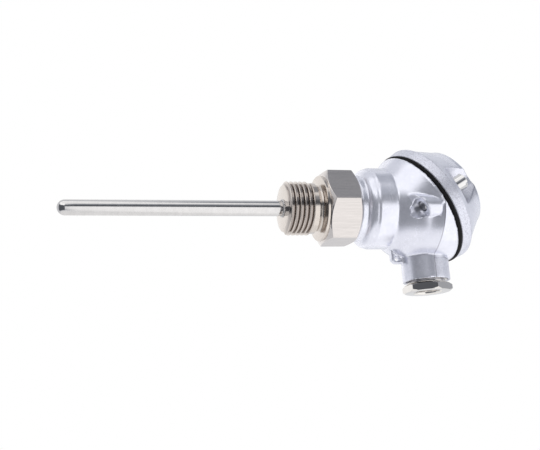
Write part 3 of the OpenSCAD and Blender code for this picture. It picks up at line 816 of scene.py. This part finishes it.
def paint_kept_nodes():
    """The solids whose own shape is right keep it and get their finish."""
    finishes = [
        (CERAMIC, ["rtd_element", "ceramic_insulator", "terminal_block"]),
        (RESIN, ["end_seal"]),
        (RED_WIRE, ["lead_1", "lead_2"]),
        (WHITE_WIRE, ["lead_3", "lead_4"]),
        (GASKET_RUBBER, ["lid_gasket", "cable_seal"]),
        (CHROME, ["lid_screw_front", "lid_screw_back"]),
        (NYLON, ["screw_keeper_front", "screw_keeper_back"]),
        (NICKEL, ["seat_washer", "thrust_washer"]),
        (BRASS, [f"{kind}_{i}" for kind in ("terminal", "clamp_plate") for i in range(1, 5)]),
        (SCREW_STEEL, ["block_screw_front", "block_screw_back"] + [f"terminal_screw_{i}" for i in range(1, 5)])]
    for material, names in finishes:
        for name in names:
            nodes[name].data.materials.clear()
            nodes[name].data.materials.append(material)


make_stem()
make_fitting()
make_castings()
make_gland()
paint_kept_nodes()


# ------------------------------------------------------------------ stage, light and camera
# The studio's own directions: along the probe, down past the cable entry, and out towards the viewer's side.
ALONG, BELOW, TOWARD = Vector((0.065, -0.253, 0.965)), Vector((0.969, 0.247, -0.001)), Vector((0.238, -0.935, -0.262))

# Panels and openings of the studio, later ones over earlier: range along, below and toward, softness, level.
STUDIO_PANELS = [
    ((-2.0, -0.1), (-2.0, 2.0), (-2.0, -0.68), 0.25, 1.20),    # white wall behind, on the stem's side
    ((0.12, 2.0), (-2.0, -0.42), (-0.48, 2.0), 0.16, 0.40),    # dark ceiling above the head
    ((-0.98, 2.0), (-0.60, 0.66), (0.10, 2.0), 0.16, 0.135),    # the room on the viewer's side
    ((-0.78, 0.14), (-2.0, -0.50), (-0.06, 2.0), 0.14, 1.50),   # ceiling panel
    ((-0.78, 0.43), (-2.0, -0.80), (0.12, 2.0), 0.08, 1.25),   # its end over the head
    ((0.70, 2.0), (-0.44, 2.0), (0.10, 2.0), 0.14, 0.95),      # wall beside the side panel
    ((0.10, 2.0), (0.55, 2.0), (-2.0, 0.10), 0.24, 1.18),      # bright wall low beyond the head
    ((0.20, 2.0), (-0.24, 2.0), (0.02, 2.0), 0.16, 1.34),      # side panel
    ((-2.0, 0.20), (0.68, 2.0), (-2.0, 2.0), 0.30, 1.10),      # white table
    ((0.90, 2.0), (-0.36, 0.04), (-2.0, 0.0), 0.06, 0.50),    # gap between the walls beyond the head
]


def make_floor():
    level = cad_low[2] - 0.15
    half = 1.3
    corners = [(-half, -half, level), (half, -half, level), (half, half, level), (-half, half, level)]
    mesh = mesh_from("floor", corners, [(0, 1, 2, 3)])
    floor = bpy.data.objects.new("floor", mesh)
    bpy.context.scene.collection.objects.link(floor)
    material, s, shader, _ = new_material("floor")
    s.put(shader, "Base Color", (0.98, 0.98, 0.98, 1))
    s.put(shader, "Roughness", 0.9)
    # gloss on the part shows the studio itself, as the white background does
    path = s.add("ShaderNodeLightPath")
    clear = s.add("ShaderNodeBsdfTransparent")
    blend = s.add("ShaderNodeMixShader")
    s.put(blend, 0, path.outputs["Is Glossy Ray"])
    s.put(blend, 1, shader.outputs[0])
    s.put(blend, 2, clear.outputs[0])
    s.put(s.tree.nodes["Material Output"], "Surface", blend.outputs[0])
    mesh.materials.append(material)


def make_world():
    world = bpy.data.worlds.new("studio")
    bpy.context.scene.world = world
    world.use_nodes = True
    world.node_tree.nodes.clear()
    s = Shade(world.node_tree)
    out = s.add("ShaderNodeOutputWorld")
    direction = s.add("ShaderNodeTexCoord").outputs["Generated"]
    places = []
    for axis in (ALONG, BELOW, TOWARD):
        dot = s.add("ShaderNodeVectorMath", operation="DOT_PRODUCT")
        s.put(dot, 0, direction)
        s.put(dot, 1, tuple(axis.normalized()))
        places.append(dot.outputs["Value"])
    level = 0.85
    for *ranges, soft, target in STUDIO_PANELS:
        mask = None
        for place, (low, high) in zip(places, ranges):
            for edge, way in ((low, 1), (high, -1)):
                if abs(edge) < 1.5:
                    side = s.span(place, edge - soft * way / 2, edge + soft * way / 2, smooth=True)
                    mask = side if mask is None else s.math("MULTIPLY", mask, side)
        level = s.math("ADD", level, s.math("MULTIPLY", mask, s.math("SUBTRACT", target, level)))
    studio = s.add("ShaderNodeBackground")
    s.put(studio, "Color", s.mix(s.span(level, 0.2, 1.1), (0.90, 0.955, 1.07, 1), (1.0, 0.995, 0.99, 1)))
    s.put(studio, "Strength", level)
    white = s.add("ShaderNodeBackground")
    s.put(white, "Color", (1, 1, 1, 1))
    s.put(white, "Strength", 1.0)
    path = s.add("ShaderNodeLightPath")
    blend = s.add("ShaderNodeMixShader")
    s.put(blend, 0, path.outputs["Is Camera Ray"])
    s.put(blend, 1, studio.outputs[0])
    s.put(blend, 2, white.outputs[0])
    s.put(out, "Surface", blend.outputs[0])


def make_lamp():
    """A faint lamp from the viewer's side, unseen in gloss."""
    light = bpy.data.lights.new("side_box", "AREA")
    light.shape = "RECTANGLE"
    light.size, light.size_y = 0.35, 0.35
    light.energy = 0.3
    lamp = bpy.data.objects.new("side_box", light)
    lamp.location = (0.45, -0.45, 0.35)
    lamp.rotation_euler = (Vector((0, 0, 0.01)) - lamp.location).to_track_quat("-Z", "Y").to_euler()
    lamp.visible_glossy = False
    bpy.context.scene.collection.objects.link(lamp)


def make_camera():
    camera = bpy.data.cameras.new("camera")
    camera.lens = 56.0
    camera.sensor_width = 36.0
    camera.clip_start = 0.01
    eye = bpy.data.objects.new("camera", camera)
    right = Vector((0.06513, -0.25330, 0.96519)).normalized()
    forward = Vector((-0.23843, 0.93528, 0.26154)).normalized()
    up = right.cross(forward).normalized()
    turn = Matrix((right, up, -forward)).transposed()
    eye.matrix_world = Matrix.Translation(Vector((83.093, -300.113, -104.835)) * MM) @ turn.to_4x4()
    bpy.context.scene.collection.objects.link(eye)
    bpy.context.scene.camera = eye


make_floor()
make_world()
make_lamp()
make_camera()
bpy.context.scene.view_settings.view_transform = "Standard"
